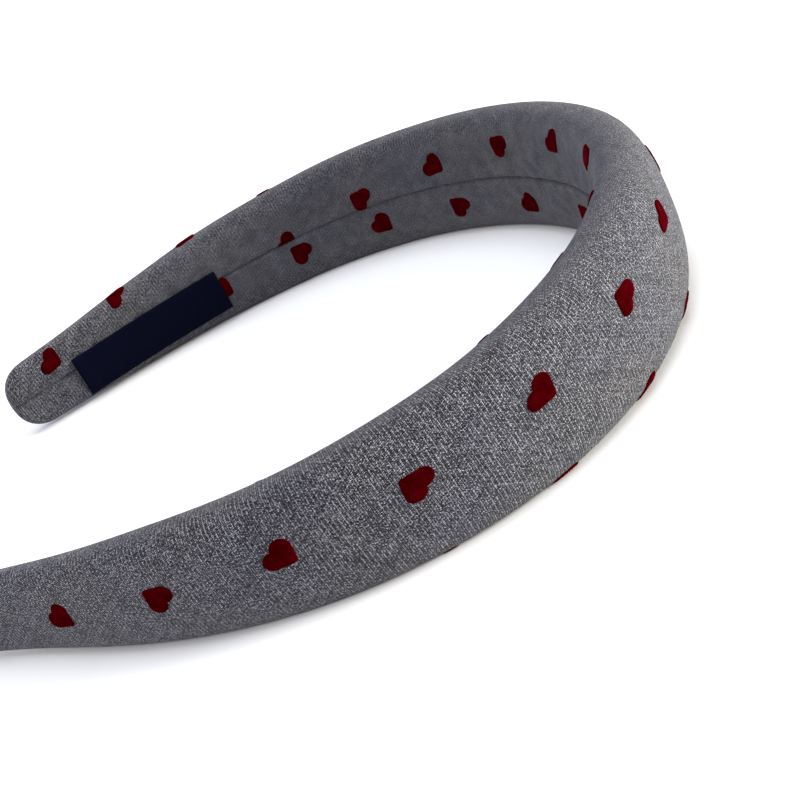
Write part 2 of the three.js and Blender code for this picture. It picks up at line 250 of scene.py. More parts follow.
# %% Find places on the smooth form
def form_points(along, shares):
    """Upright places on the smooth form, the directions out of the cloth, and distances around."""
    height, out, walked = section_at(along)
    around = shares * walked[-1]
    distance = np.abs(around)
    side = np.where(around < 0, -1, 1)
    slopes = [np.gradient(part, np.linspace(0, 1, SECTION_STEPS + 1)) for part in (height, out)]
    rise, reach = (np.interp(distance, walked, slope) for slope in slopes)
    length = np.hypot(rise, reach).clip(1e-9)
    place, outwards = arch_place(along)
    plan = place + np.interp(distance, walked, out)[:, None] * outwards
    points = np.column_stack([plan, side * np.interp(distance, walked, height)])
    directions = np.column_stack([(rise / length)[:, None] * outwards, -side * reach / length])
    return points, directions, around


print("crown's outer middle:", (form_points(0.0, np.array([0.0]))[0][0] / MM).round(1), "mm")

# %% [markdown]
# ## Folds from a cloth simulation
#
# Bending a straight padded strip into a hoop leaves its inner face with more cloth than it needs. The
# spare cloth shows as low, soft puckers beside the seam. They could be painted on as noise, but a
# simulation places them as cloth would. A coarse copy of the cover is made ten times larger, because
# the solver expects the size of clothes, and its cloth is let out by a few percent. The outer face and
# the seam are pinned, and a slight pressure stands for the foam. Only the lift out of the form is
# kept, so that the same folds can be laid on a finer mesh.

# %% Set up the simulation's cloth
SIM_SCALE = 10
SIM_RINGS = 240
SIM_STEPS = 32  # from the outer middle line to the seam
SIM_FRAMES = 22
SPARE_CLOTH = 0.022  # how much longer the cloth is than the form
FREE_FROM = 0.72  # share round the ring where the pinned outer face ends
FOLD_LIMIT = 0.55 * MM

inside = HALF_LENGTH - END_ROUND
sim_places = np.linspace(-inside, inside, SIM_RINGS)
sim_shares = np.linspace(-1, 1, 2 * SIM_STEPS, endpoint=False)


def new_piece(name, points, faces, smooth=True):
    """A linked mesh object at the origin, with its place in its mesh."""
    mesh = bpy.data.meshes.new(name)
    mesh.from_pydata([tuple(point) for point in points], [], faces)
    mesh.polygons.foreach_set("use_smooth", [smooth] * len(mesh.polygons))
    piece = bpy.data.objects.new(name, mesh)
    bpy.context.scene.collection.objects.link(piece)
    return piece


def pin_weights(shares):
    """1 on the outer face and at the seam, 0 on the free cloth of the inner face."""
    from_outer = np.clip((np.abs(shares) - FREE_FROM) / 0.08, 0, 1)
    from_seam = np.clip((1 - np.abs(shares)) / 0.06, 0, 1)
    return 1 - np.minimum(from_outer, from_seam)


print("simulated cloth:", SIM_RINGS, "rings of", len(sim_shares), "points")

# %% Run the simulation
def simulated_lifts():
    """How far the simulated cloth rises off the form, for each ring and share."""
    rings = [form_points(along, sim_shares) for along in sim_places]
    count = len(sim_shares)
    points = np.vstack([ring[0] for ring in rings])
    directions = np.vstack([ring[1] for ring in rings])
    corners = [(ring * count, step, (step + 1) % count) for ring in range(SIM_RINGS - 1) for step in range(count)]
    faces = [(base + step, base + beside, base + count + beside, base + count + step) for base, step, beside in corners]
    cloth = new_piece("loose_cloth", points * SIM_SCALE, faces)
    weights = np.tile(pin_weights(sim_shares), SIM_RINGS)
    weights[:count] = weights[-count:] = 1
    group = cloth.vertex_groups.new(name="pinned")
    for index, weight in enumerate(weights):
        if weight > 0:
            group.add([index], float(weight), "REPLACE")
    settings = cloth.modifiers.new("cloth", "CLOTH").settings
    settings.quality = 6
    settings.mass = 0.25
    settings.tension_stiffness = settings.compression_stiffness = 12
    settings.shear_stiffness = 4
    settings.bending_stiffness = 0.6
    settings.shrink_min = -SPARE_CLOTH
    settings.use_pressure = True
    settings.uniform_pressure_force = 0.6
    settings.vertex_group_mass = "pinned"
    settings.effector_weights.gravity = 0
    scene = bpy.context.scene
    for number in range(1, SIM_FRAMES + 1):
        scene.frame_set(number)
    evaluated = cloth.evaluated_get(bpy.context.evaluated_depsgraph_get())
    moved = np.zeros(3 * len(points))
    evaluated.data.vertices.foreach_get("co", moved)
    lifts = ((moved.reshape(-1, 3) / SIM_SCALE - points) * directions).sum(1)
    bpy.data.objects.remove(cloth)
    scene.frame_set(1)
    return FOLD_LIMIT * np.tanh(lifts / FOLD_LIMIT).reshape(SIM_RINGS, count)


folds = simulated_lifts()
print("folds in mm:", (np.percentile(folds, (1, 10, 50, 90, 99)) / MM).round(2))

# %% [markdown]
# ## Rings for the real cover
#
# Close to the seam the rings' points stand closer together, because the folded edges of the cloth roll
# down into a narrow valley there. Where the band meets the floor, the cloth flattens softly, so low
# points are eased up to the floor and never pass it.

# %% Lay out the rings
RING_SPACING = 0.8 * MM
END_RINGS = 14
HALF_RING = 46  # points from the outer middle line to the seam
SEAM_CROWDING = 1.75  # 1 spaces the points evenly, more draws them to the seam
TIP_GAP = 0.03  # share of the end's quarter turn that is left open for the tip point

straight_rings = round(2 * inside / RING_SPACING)
end_turns = np.linspace(TIP_GAP, 1, END_RINGS, endpoint=False) * math.pi / 2
end_places = inside + END_ROUND * np.cos(end_turns)
ring_places = np.concatenate([-end_places, np.linspace(-inside, inside, straight_rings + 1), end_places[::-1]])
half_shares = 1 - (1 - np.linspace(0, 1, HALF_RING + 1)) ** SEAM_CROWDING
ring_shares = np.concatenate([-half_shares[:0:-1], half_shares])[1:]
print(len(ring_places), "rings of", len(ring_shares), "points")


def fold_at(along, shares):
    """The simulated lift at some places of a ring."""
    column = np.interp(along, sim_places, np.arange(SIM_RINGS))
    low = min(int(column), SIM_RINGS - 2)
    row = (1 - (column - low)) * folds[low] + (column - low) * folds[low + 1]
    return np.interp(shares, sim_shares, row, period=2)


# %% [markdown]
# The valley is a cusp: its sides are two rolled edges that touch at the bottom. Small pulls of the
# hidden thread pinch it every few millimetres, and each pinch draws a short, shallow pucker into the
# cloth beside it. Slow noise along the band sets how strong each one is.

# %% Shape the seam and its puckers
SEAM_HALF_OPENING = 1.25 * MM
SEAM_DEPTH = 0.9 * MM
SEAM_CUSP = 2.6
SEAM_WANDER = 0.25 * MM
PINCH_SPACING = 4.6 * MM
PUCKER_REACH = 5.5 * MM
PUCKER_HEIGHT = 0.14 * MM
UNEVEN_LENGTH = 21 * MM  # of the slow swells of the foam under the cloth
UNEVEN_HEIGHT = 0.16 * MM


def wave_noise(along, around, length, seed):
    """Smooth noise from -1 to 1 over the flat cloth."""
    return noise.noise(Vector((along / length, around / length, seed)))


def seam_sink(along, from_seam):
    """How far the cloth sinks at some distance from the seam's middle."""
    stray = 3 * wave_noise(along, 0, 3 * PINCH_SPACING, 5)
    pull = 0.5 + 0.5 * math.cos(2 * math.pi * along / PINCH_SPACING + stray)
    strength = 0.55 + 0.45 * wave_noise(along, 0, 4 * PINCH_SPACING, 9)
    closeness = np.clip(1 - from_seam / SEAM_HALF_OPENING, 0, 1) ** SEAM_CUSP
    valley = SEAM_DEPTH * (0.75 + 0.25 * pull) * closeness
    pucker = PUCKER_HEIGHT * strength * (pull - 0.5) * np.exp(-((from_seam / PUCKER_REACH) ** 2))
    return valley + pucker


def swell(along, around):
    """How far the foam swells under the cloth."""
    return UNEVEN_HEIGHT * np.array([wave_noise(along, place, UNEVEN_LENGTH, 2) for place in around])


print("seam:", round(2 * SEAM_HALF_OPENING / MM, 2), "mm wide and", round(SEAM_DEPTH / MM, 2), "mm deep")

# %% Build the cover
FLAT_MAP = "flat_cloth"
SEAM_MAP = "to_seam"  # the distance around at which the cloth ends, kept with each point
FLOOR_EASE = 0.2 * MM


def ring_points(along):
    """The points of one ring, with their distances around, and the seam's bottom point last."""
    points, directions, around = form_points(along, ring_shares)
    from_seam = around[-1] - np.abs(around)
    fade = min(1.0, size_at(along)[0] / (CROWN_WIDTH / 4))
    lift = fade * (swell(along, around) - seam_sink(along, from_seam)) + fold_at(along, ring_shares)
    points += lift[:, None] * directions
    wander = fade * SEAM_WANDER * wave_noise(along, 0, 2 * UNEVEN_LENGTH, 7)
    points[:, 2] += wander * np.exp(-((from_seam / PUCKER_REACH) ** 2))
    return points, around


def ease_to_floor(points):
    """Low points come to rest just above the floor."""
    low = points[:, 2] < FLOOR_EASE
    points[low, 2] = FLOOR_EASE * np.exp(points[low, 2] / FLOOR_EASE - 1)
    return points


rings = [ring_points(along) for along in ring_places]
ring_size = len(ring_shares)
tips = []
for end in (-HALF_LENGTH, HALF_LENGTH):
    place, outwards = arch_place(end)
    tips.append(np.append(place + outwards * size_at(end)[1] / 2, 0))
cover_points = ease_to_floor(rest(np.vstack([ring[0] for ring in rings] + [tips])))
print("cover points:", len(cover_points))

# %% [markdown]
# Faces join each ring to the next, and a fan closes each tip. The UV map holds along and around in
# metres. On the rounded ends the cloth turns down over a blunt face, so there the map measures along
# the cloth itself. At the seam one column of points belongs to both edges of the cloth, so the faces
# on the one side read it as the far positive edge and the faces on the other as the far negative one.

# %% Measure the cloth over the ends
def flat_distances():
    """Where each ring lies along the flat cloth, and the distance from an end ring to its tip."""
    middle = np.array([ring[0][HALF_RING - 1] for ring in rings])
    steps = np.linalg.norm(np.diff(middle, axis=0), axis=1)
    over_end = np.cumsum(steps[-END_RINGS:])
    flat = ring_places.copy()
    flat[-END_RINGS:] = inside + over_end
    flat[:END_RINGS] = -flat[: -END_RINGS - 1 : -1]
    return flat, np.linalg.norm(middle[-1] - tips[1])


flat_places, tip_step = flat_distances()
print("cloth over each rounded end:", round((flat_places[-1] + tip_step - inside) / MM, 1), "mm")

# %% Join the rings into a mesh
def cover_faces():
    """Faces as point indices, and the flat place of each of their corners."""
    faces, flats = [], []
    last_ring = (len(rings) - 1) * ring_size
    for ring in range(len(rings)):
        around = rings[ring][1]
        for step in range(ring_size):
            beside = (step + 1) % ring_size
            left = -around[-1] if step == ring_size - 1 else around[step]
            if ring < len(rings) - 1:
                ahead = rings[ring + 1][1]
                ahead_left = -ahead[-1] if step == ring_size - 1 else ahead[step]
                base = ring * ring_size
                faces.append((base + step, base + beside, base + ring_size + beside, base + ring_size + step))
                near, far = flat_places[ring], flat_places[ring + 1]
                flats += [(near, left), (near, around[beside]), (far, ahead[beside]), (far, ahead_left)]
            if ring in (0, len(rings) - 1):
                tip = len(rings) * ring_size + (0 if ring == 0 else 1)
                here = flat_places[ring]
                end = here + math.copysign(tip_step, here)
                base = 0 if ring == 0 else last_ring
                near = (base + step, (here, left))
                other = (base + beside, (here, around[beside]))
                first, second = (other, near) if ring == 0 else (near, other)
                faces.append((first[0], second[0], tip))
                flats += [first[1], second[1], (end, (left + around[beside]) / 2)]
    return faces, flats


faces, flats = cover_faces()
cover = new_piece("padded_cover", cover_points, faces)
cover.data.uv_layers.new(name=FLAT_MAP).data.foreach_set("uv", np.array(flats, np.float32).ravel())
to_seam = np.repeat([ring[1][-1] for ring in rings], ring_size)
to_seam = np.append(to_seam, [to_seam[0], to_seam[-1]])
cover.data.attributes.new(SEAM_MAP, "FLOAT", "POINT").data.foreach_set("value", to_seam.astype(np.float32))
print("cover:", len(cover.data.polygons), "faces, box in mm:", [round(side / MM, 1) for side in cover.dimensions])

# %% [markdown]
# ## A way to write nodes
#
# A material is a tree of nodes, and written node by node its maths is hard to follow. This class
# wraps one socket. Arithmetic on it adds Math nodes, so a formula reads as a formula, and node() adds
# any other node. The same class serves shader trees and Geometry Nodes trees.

# %% Wrap a socket
class Wire:
    """An output socket of a node tree. Arithmetic on it adds Math nodes to the tree."""

    def __init__(self, tree, socket=None):
        self.tree = tree
        self.socket = socket

    def node(self, kind, settings=None, inputs=None, output=0):
        """Adds a node, with its settings first, and returns one of its outputs."""
        node = self.tree.nodes.new(kind)
        for name, value in (settings or {}).items():
            if name == "stops":
                set_stops(node.color_ramp, value)
            else:
                setattr(node, name, value)
        for name, value in (inputs or {}).items():
            if isinstance(value, Wire):
                self.tree.links.new(value.socket, node.inputs[name])
            else:
                node.inputs[name].default_value = value
        return Wire(self.tree, node.outputs[output] if node.outputs else None)

    def out(self, name):
        """Another output of the node that this socket belongs to."""
        return Wire(self.tree, self.socket.node.outputs[name])

    def math(self, operation, *values):
        return self.node("ShaderNodeMath", {"operation": operation}, dict(enumerate(values)))

    def __add__(self, other):
        return self.math("ADD", self, other)

    def __radd__(self, other):
        return self.math("ADD", other, self)

    def __sub__(self, other):
        return self.math("SUBTRACT", self, other)

    def __rsub__(self, other):
        return self.math("SUBTRACT", other, self)

    def __mul__(self, other):
        return self.math("MULTIPLY", self, other)

    def __rmul__(self, other):
        return self.math("MULTIPLY", other, self)

    def __truediv__(self, other):
        return self.math("DIVIDE", self, other)

    def __pow__(self, other):
        return self.math("POWER", self, other)

    def __mod__(self, other):
        return self.math("FLOORED_MODULO", self, other)

    def __lt__(self, other):
        return self.math("LESS_THAN", self, other)

    def __gt__(self, other):
        return self.math("GREATER_THAN", self, other)


def set_stops(ramp, stops):
    """Gives a colour ramp its stops, as (place, colour) pairs."""
    while len(ramp.elements) > 1:
        ramp.elements.remove(ramp.elements[-1])
    ramp.elements[0].position, ramp.elements[0].color = stops[0][0], (*stops[0][1], 1)
    for place, colour in stops[1:]:
        ramp.elements.new(place).color = (*colour, 1)


print("operators:", [name for name in vars(Wire) if name.startswith("__") and name != "__init__"][:12])

# %% [markdown]
# A few small helpers carry the rest: a new material with its shader ready, noise, a mix of two
# colours by a factor, and a socket kept between 0 and 1.

# %% Add the shader helpers
def new_material(name, constants):
    """A material, the wire that starts its tree, and its shader, with what never varies set on it."""
    material = bpy.data.materials.new(name)
    material.use_nodes = True
    shader = material.node_tree.nodes["Principled BSDF"]
    for socket, value in constants.items():
        shader.inputs[socket].default_value = value
    return material, Wire(material.node_tree), shader


def noise_field(wire, place, scale, detail=2.0, rough=0.5, dimensions="3D"):
    """Noise from 0 to 1 at some places, with so many features to the unit."""
    return wire.node(
        "ShaderNodeTexNoise",
        {"noise_dimensions": dimensions},
        {"Vector": place, "Scale": scale, "Detail": detail, "Roughness": rough},
    )


def mix_colours(wire, factor, first, second, blend="MIX"):
    """Two colours, or wires of colours, mixed by a factor."""
    full = [colour if isinstance(colour, Wire) else (*colour, 1) for colour in (first, second)]
    return wire.node(
        "ShaderNodeMix",
        {"data_type": "RGBA", "blend_type": blend, "clamp_factor": True},
        {0: factor, 6: full[0], 7: full[1]},
        output=2,
    )


def between(wire, value, low, high, new_low=0.0, new_high=1.0):
    """A value stretched from one range to another, and kept inside it."""
    return wire.node(
        "ShaderNodeMapRange",
        {"clamp": True},
        {"Value": value, "From Min": low, "From Max": high, "To Min": new_low, "To Max": new_high},
    )


def finish_shader(wire, shader, base_color, roughness, heights):
    """Links what varies: colour, roughness and bumps, each a (height, strength, distance)."""
    links = wire.tree.links
    links.new(base_color.socket, shader.inputs["Base Color"])
    links.new(roughness.socket, shader.inputs["Roughness"])
    normal = None
    for height, strength, distance in heights:
        inputs = {"Height": height, "Strength": strength, "Distance": distance}
        if normal is not None:
            inputs["Normal"] = normal
        normal = wire.node("ShaderNodeBump", None, inputs)
    links.new(normal.socket, shader.inputs["Normal"])


print("helpers ready")

# %% [markdown]
# ## The heather twill
#
# The cloth is a two-by-two twill: every yarn passes over two of the others and then under two, one
# step further on each row, which draws diagonal wales. This cloth is cut on the bias, so its wales run
# straight across the band. It is also pulled along the hoop, which leans its yarns from 45 degrees to
# about 50. Heather yarn is spun from fibres that were dyed before spinning, so no two yarns are alike,
# and pale and dark flecks lie along each one.
#
# The pattern is worked out from the flat map, because a real weave follows the cloth round every
# bend. Each of the two families of yarn has a number that rises by one from yarn to yarn. Their whole
# parts say which yarn is on top, and their fractions draw its round shape.

# %% Number the yarns
YARN_LEAN = math.radians(50)  # from the band's length to the way across a yarn
WARP_PITCH = 0.259  # in millimetres, from yarn to yarn
WEFT_PITCH = 0.223
YARN_STRAY = 0.17  # in millimetres, how far the yarns stray


def weave_numbers(wire):
    """The flat place in millimetres, and the numbers of the warp and weft yarns there."""
    flat = wire.node("ShaderNodeUVMap", {"uv_map": FLAT_MAP})
    place = wire.node("ShaderNodeVectorMath", {"operation": "SCALE"}, {0: flat, "Scale": 1 / MM})
    stray = wire.node(
        "ShaderNodeVectorMath",
        {"operation": "MULTIPLY_ADD"},
        {0: noise_field(wire, place, 0.45, 2.0).out("Color"), 1: (YARN_STRAY,) * 3, 2: place},
    )
    parts = wire.node("ShaderNodeSeparateXYZ", None, {0: stray})
    along = parts * math.cos(YARN_LEAN)
    around = parts.out("Y") * math.sin(YARN_LEAN)
    return place, (along + around) / WARP_PITCH, (along - around) / WEFT_PITCH


print("yarns to the centimetre:", round(10 / WARP_PITCH), "and", round(10 / WEFT_PITCH))

# %% [markdown]
# Three random tones make a yarn look spun: one that changes from yarn to yarn and slowly along it,
# one for each float, which is the short length that shows between two crossings, and fine flecks.
# The hollows between the yarns are darkened as painted shade. Towards the seam the colour darkens
# as painted shade of the inner face, and the flecks fade, which paints in its flatter light and
# softer focus. The real cloth has one tone all round.

# %% Colour the yarns
TWILL_REPEAT = 4  # crossings from one float to the next
YARN_CONTRAST = 0.2
FLOAT_CONTRAST = 0.3
FLECK_SCALE = 3.8  # to the millimetre
FLECK_CONTRAST = 1.75


def random_number(wire, *parts):
    """A random number from 0 to 1 for each set of whole numbers."""
    spot = wire.node("ShaderNodeCombineXYZ", None, dict(enumerate(parts)))
    return wire.node("ShaderNodeTexWhiteNoise", {"noise_dimensions": "3D"}, {"Vector": spot})


def yarn_tone(wire, number, run, repeat, family):
    """How pale a yarn is at a place, around 0."""
    row = wire.node("ShaderNodeCombineXYZ", None, {0: number * 97.31 + family, 1: run})
    yarn = random_number(wire, number, family, 0.5) + noise_field(wire, row, 0.04, 1.0) - 1.0
    short = random_number(wire, number, repeat, family + 0.5) - 0.5
    return yarn * YARN_CONTRAST + short * FLOAT_CONTRAST


print("tones ready")

# %% Weave the heather twill
DARK_FIBRE = (0.0035, 0.0033, 0.0060)
DIM_FIBRE = (0.030, 0.029, 0.035)
MIDDLE_FIBRE = (0.13, 0.128, 0.142)
PALE_FIBRE = (0.42, 0.415, 0.44)
YARN_RELIEF = 0.10 * MM
MIDDLE_TONE = 0.645
OUTER_REACH = 14  # in millimetres around, where the flecks begin to fade
INNER_START = 25
OUTER_STRENGTH = 1.28
INNER_STRENGTH = 0.34
# The next four numbers set the painted shade: the cloth's colour darkens from the outer face to the seam.
PAINTED_SHADE_REACH = 10  # where the shade of the inner side begins
PAINTED_SHADE_FULL = 24
OUTER_SHADE = 0.88
INNER_PAINTED_SHADE = 0.52
CLOUD_CONTRAST = 0.3  # of the slow changes of tone


def heather_twill():
    """The woven cloth of the cover."""
    material, wire, shader = new_material(
        "heather_twill", {"Sheen Weight": 0.1, "Sheen Roughness": 0.5, "Specular IOR Level": 0.2}
    )
    place, warp, weft = weave_numbers(wire)
    warp_number = wire.math("FLOOR", warp)
    weft_number = wire.math("FLOOR", weft)
    crossing = warp_number + weft_number
    step = crossing % TWILL_REPEAT
    repeat = wire.math("FLOOR", crossing / TWILL_REPEAT)
    half = TWILL_REPEAT / 2
    warp_on_top = step < half - 0.5
    warp_across, weft_across = wire.math("FRACT", warp), wire.math("FRACT", weft)
    warp_along = (step + weft_across) * (math.pi / half)
    weft_along = (step - half + warp_across) * (math.pi / half)
    warp_height = wire.math("SINE", warp_across * math.pi) * wire.math("SINE", warp_along)
    weft_height = wire.math("SINE", weft_across * math.pi) * wire.math("SINE", weft_along) * 0.85
    height = warp_on_top * warp_height + (1 - warp_on_top) * weft_height

    warp_tone = yarn_tone(wire, warp_number, weft, repeat, 3.0)
    weft_tone = yarn_tone(wire, weft_number, warp, repeat, 41.0) - 0.12
    tone = warp_on_top * warp_tone + (1 - warp_on_top) * weft_tone
    # Painted shade: the colour darkens where the yarns dip, between them and at the ends of each float.
    painted_gap_shade = between(wire, height, 0.0, 0.6, -0.52, 0.03)
    fleck = (noise_field(wire, place, FLECK_SCALE, 1.0) - 0.5) * FLECK_CONTRAST
    slow = (noise_field(wire, place, 0.3, 3.0) - 0.5) * CLOUD_CONTRAST
    around = wire.math("ABSOLUTE", wire.node("ShaderNodeSeparateXYZ", None, {0: place}).out("Y"))
    # The flecks fade towards the seam, which paints in the flatter light and softer focus of the inner face.
    strength = between(wire, around, OUTER_REACH, INNER_START, OUTER_STRENGTH, INNER_STRENGTH)
    colour = wire.node(
        "ShaderNodeValToRGB",
        {"stops": [(0.0, DARK_FIBRE), (0.3, DIM_FIBRE), (0.6, MIDDLE_FIBRE), (1.0, PALE_FIBRE)]},
        {0: (tone + painted_gap_shade + fleck) * strength + slow + MIDDLE_TONE},
    )
    cloud = noise_field(wire, place, 0.055, 3.0)
    tint = mix_colours(wire, between(wire, cloud, 0.3, 0.7), (0.90, 0.905, 1.03), (0.99, 0.985, 0.965))
    tinted = mix_colours(wire, 1.0, colour, tint, "MULTIPLY")
    # Painted shade: the cloth's colour is scaled down towards the seam, for the shade of the inner face.
    shade = between(wire, around, PAINTED_SHADE_REACH, PAINTED_SHADE_FULL, OUTER_SHADE, INNER_PAINTED_SHADE)
    cloth_colour = wire.node("ShaderNodeVectorMath", {"operation": "SCALE"}, {0: tinted, "Scale": shade})
    roughness = between(wire, height, 0.0, 1.0, 0.95, 0.78)
    finish_shader(wire, shader, cloth_colour, roughness, [(height, 0.8, YARN_RELIEF)])
    return material


cover.data.materials.append(heather_twill())
print("twill:", len(cover.data.materials[0].node_tree.nodes), "nodes")

# %% [markdown]
# ## The wine-red flock
#
# Flock is a printed glue that holds thousands of short upright fibres. It has almost no shine of its
# own, and its rim catches the light, which the shader calls sheen. The pile leans this way and that
# in patches, so its colour shifts a little over each heart.

# %% Mix the wine flock
FLOCK_DEEP = (0.0165, 0.0001, 0.0004)
FLOCK_MIDDLE = (0.033, 0.0001, 0.0006)
FLOCK_LIT = (0.074, 0.0004, 0.0022)


def wine_flock():
    """The velvet pile of the hearts."""
    material, wire, shader = new_material(
        "wine_flock",
        {"Sheen Weight": 0.2, "Sheen Roughness": 0.3, "Sheen Tint": (0.8, 0.03, 0.12, 1), "Specular IOR Level": 0.0},
    )
    place = wire.node("ShaderNodeTexCoord").out("Object")
    patches = noise_field(wire, place, 420, 3.0)
    fibres = noise_field(wire, place, 5200, 2.0)
    mixed = between(wire, patches * 0.45 + fibres * 0.55, 0.32, 0.68)
    colour = wire.node(
        "ShaderNodeValToRGB",
        {"stops": [(0.0, FLOCK_DEEP), (0.5, FLOCK_MIDDLE), (1.0, FLOCK_LIT)]},
        {0: mixed},
    )
    roughness = between(wire, fibres, 0.3, 0.7, 0.85, 1.0)
    finish_shader(wire, shader, colour, roughness, [(fibres, 0.6, 0.08 * MM)])
    return material


flock = wine_flock()
print("flock:", len(flock.node_tree.nodes), "nodes")

# %% [markdown]
# ## One heart
#
# A heart is a square on its corner with a half circle on each of its two upper sides. Here the square
# stays upright, because the cloth's bias turns it by 45 degrees anyway. The flock stands up steeply at
# its rim and is nearly level inside, so rings of points run in from the rim and rise.

# %% Model the patch of one heart
HEART_SIDE = 3.6 * MM  # side of the square between the two lobes
HEART_POINT_ROUND = 0.75 * MM
LOBE_STEPS = 16
SIDE_STEPS = 8
# From the rim to the middle: how much of the outline is left, and the height of the pile.
PILE_RINGS = [(1.0, -0.06), (0.992, 0.09), (0.965, 0.19), (0.91, 0.26), (0.8, 0.3), (0.6, 0.32), (0.35, 0.33)]


def arc(centre, start, steps):
    """A half circle, as points of a lobe."""
    turns = math.radians(start) + np.linspace(0, math.pi, steps + 1)
    return centre + HEART_SIDE / 2 * np.column_stack([np.cos(turns), np.sin(turns)])


def heart_outline():
    """The rim about its centre of area, pointing between +u and +v."""
    radius = HEART_SIDE / 2
    point_centre = radius - HEART_POINT_ROUND
    turns = np.linspace(0, math.pi / 2, 5)
    point = point_centre + HEART_POINT_ROUND * np.column_stack([np.cos(turns), np.sin(turns)])
    shares = np.linspace(0, 1, SIDE_STEPS, endpoint=False)[1:, None]
    right = (1 - shares) * np.array([radius, -radius]) + shares * point[0]
    top = (1 - shares) * point[-1] + shares * np.array([-radius, radius])
    left_lobe = arc(np.array([-radius, 0]), 90, LOBE_STEPS)
    low_lobe = arc(np.array([0, -radius]), 180, LOBE_STEPS)[1:]
    lobe_area = math.pi * radius**2 / 2
    lobe_shift = radius + 4 * radius / (3 * math.pi)
    centre = -lobe_shift * lobe_area / (HEART_SIDE**2 + 2 * lobe_area)
    return np.vstack([right, point, top, left_lobe, low_lobe]) - centre


def heart_patch():
    """A flat heart whose z is the height of its pile."""
    outline = heart_outline()
    count = len(outline)
    points = [(*(share * place), height * MM) for share, height in PILE_RINGS for place in outline]
    points.append((0, 0, PILE_RINGS[-1][1] * MM))
    patch_faces = []
    for ring in range(len(PILE_RINGS) - 1):
        for step in range(count):
            here, beside = ring * count + step, ring * count + (step + 1) % count
            patch_faces.append((here, beside, beside + count, here + count))
    inner = (len(PILE_RINGS) - 1) * count
    patch_faces += [(inner + step, inner + (step + 1) % count, len(points) - 1) for step in range(count)]
    points.append((0, 0, PILE_RINGS[0][1] * MM))
    patch_faces += [((step + 1) % count, step, len(points) - 1) for step in range(count)]
    return new_piece("heart_patch", points, patch_faces)


patch = heart_patch()
print("heart:", [round(side / MM, 1) for side in patch.dimensions], "mm,", len(patch.data.polygons), "faces")

# %% [markdown]
# ## The print
#
# The hearts repeat in columns and rows on the flat cloth, and every second one is upside down. That
# is a job for Geometry Nodes: lay the patches out flat, slant the print as the cloth was cut, and then
# look up each flat point on the cover's UV map to find where it is on the band and which way is out.
# Points past the seam or the ends are drawn back to them, which cuts a heart off cleanly, and faces
# that lie wholly past them are deleted. Tufts scattered over the patches give the pile its broken,
# velvety edge.

# %% Start a Geometry Nodes tree
def geometry_tree(name, inputs):
    """A tree with named inputs, the wire that starts it, and its inputs as wires."""
    tree = bpy.data.node_groups.new(name, "GeometryNodeTree")
    tree.interface.new_socket("Geometry", in_out="OUTPUT", socket_type="NodeSocketGeometry")
    for label, kind in inputs.items():
        tree.interface.new_socket(label, in_out="INPUT", socket_type=kind)
    wire = Wire(tree)
    first = wire.node("NodeGroupInput")
    return tree, wire, {label: first.out(label) for label in inputs}


def run_tree(name, tree, values):
    """Runs a tree on an empty object, and keeps the result as its plain mesh."""
    holder = new_piece(name, [], [])
    modifier = holder.modifiers.new(name, "NODES")
    modifier.node_group = tree
    sockets = {item.name: item.identifier for item in tree.interface.items_tree if item.in_out == "INPUT"}
    for label, value in values.items():
        modifier[sockets[label]] = value
    bpy.context.view_layer.update()
    evaluated = holder.evaluated_get(bpy.context.evaluated_depsgraph_get())
    result = bpy.data.meshes.new_from_object(evaluated)
    holder.modifiers.remove(modifier)
    holder.data = result
    return holder


print("tree helpers ready")

# %% [markdown]
# The first half of the tree makes the flat print. A grid has its points at the hearts' places. A
# point's index, divided by the number of rows, gives its column, and what is left over its row: when
# the two add up to an odd number, the heart turns half round.

# %% Lay out the flat print
FLOAT, INTEGER = "NodeSocketFloat", "NodeSocketInt"
print_inputs = {
    "Cover": "NodeSocketObject",
    "Patch": "NodeSocketObject",
    "Pile": "NodeSocketMaterial",
    "Columns": INTEGER,
    "Rows": INTEGER,
    "First turned": INTEGER,
    "First along": FLOAT,
    "First around": FLOAT,
    "Spacing along": FLOAT,
    "Spacing around": FLOAT,
    "Column slant": FLOAT,
    "Row slant": FLOAT,
    "Print reach": FLOAT,
    "Seam margin": FLOAT,
    "Rim wobble": FLOAT,
    "Floor gap": FLOAT,
    "Tuft density": FLOAT,
    "Tuft length": FLOAT,
    "Seed": INTEGER,
}
print_tree, wire, given = geometry_tree("heart_print", print_inputs)


def vector(wire, x, y, z):
    return wire.node("ShaderNodeCombineXYZ", None, {0: x, 1: y, 2: z})


def combine(wire, operation, first, second):
    return wire.node("ShaderNodeVectorMath", {"operation": operation}, {0: first, 1: second})


def flat_print(wire, given):
    """Patches on a grid over the flat cloth, slanted, with their height of pile as z."""
    width = (given["Columns"] - 1) * given["Spacing along"]
    height = (given["Rows"] - 1) * given["Spacing around"]
    grid = wire.node(
        "GeometryNodeMeshGrid",
        None,
        {"Size X": width, "Size Y": height, "Vertices X": given["Columns"], "Vertices Y": given["Rows"]},
    )
    corner = vector(wire, given["First along"] + width / 2, given["First around"] + height / 2, 0.0)
    placed = wire.node("GeometryNodeSetPosition", None, {"Geometry": grid, "Offset": corner})
    index = wire.node("GeometryNodeInputIndex")
    column = wire.math("FLOOR", (index + 0.5) / given["Rows"])
    turned = (column + index % given["Rows"] + given["First turned"]) % 2
    heart = wire.node("GeometryNodeObjectInfo", None, {"Object": given["Patch"]}).out("Geometry")
    angle = vector(wire, 0.0, 0.0, wire.math("ROUND", turned) * math.pi)
    hearts = wire.node("GeometryNodeInstanceOnPoints", None, {"Points": placed, "Instance": heart, "Rotation": angle})
    return wire.node("GeometryNodeRealizeInstances", None, {"Geometry": hearts})


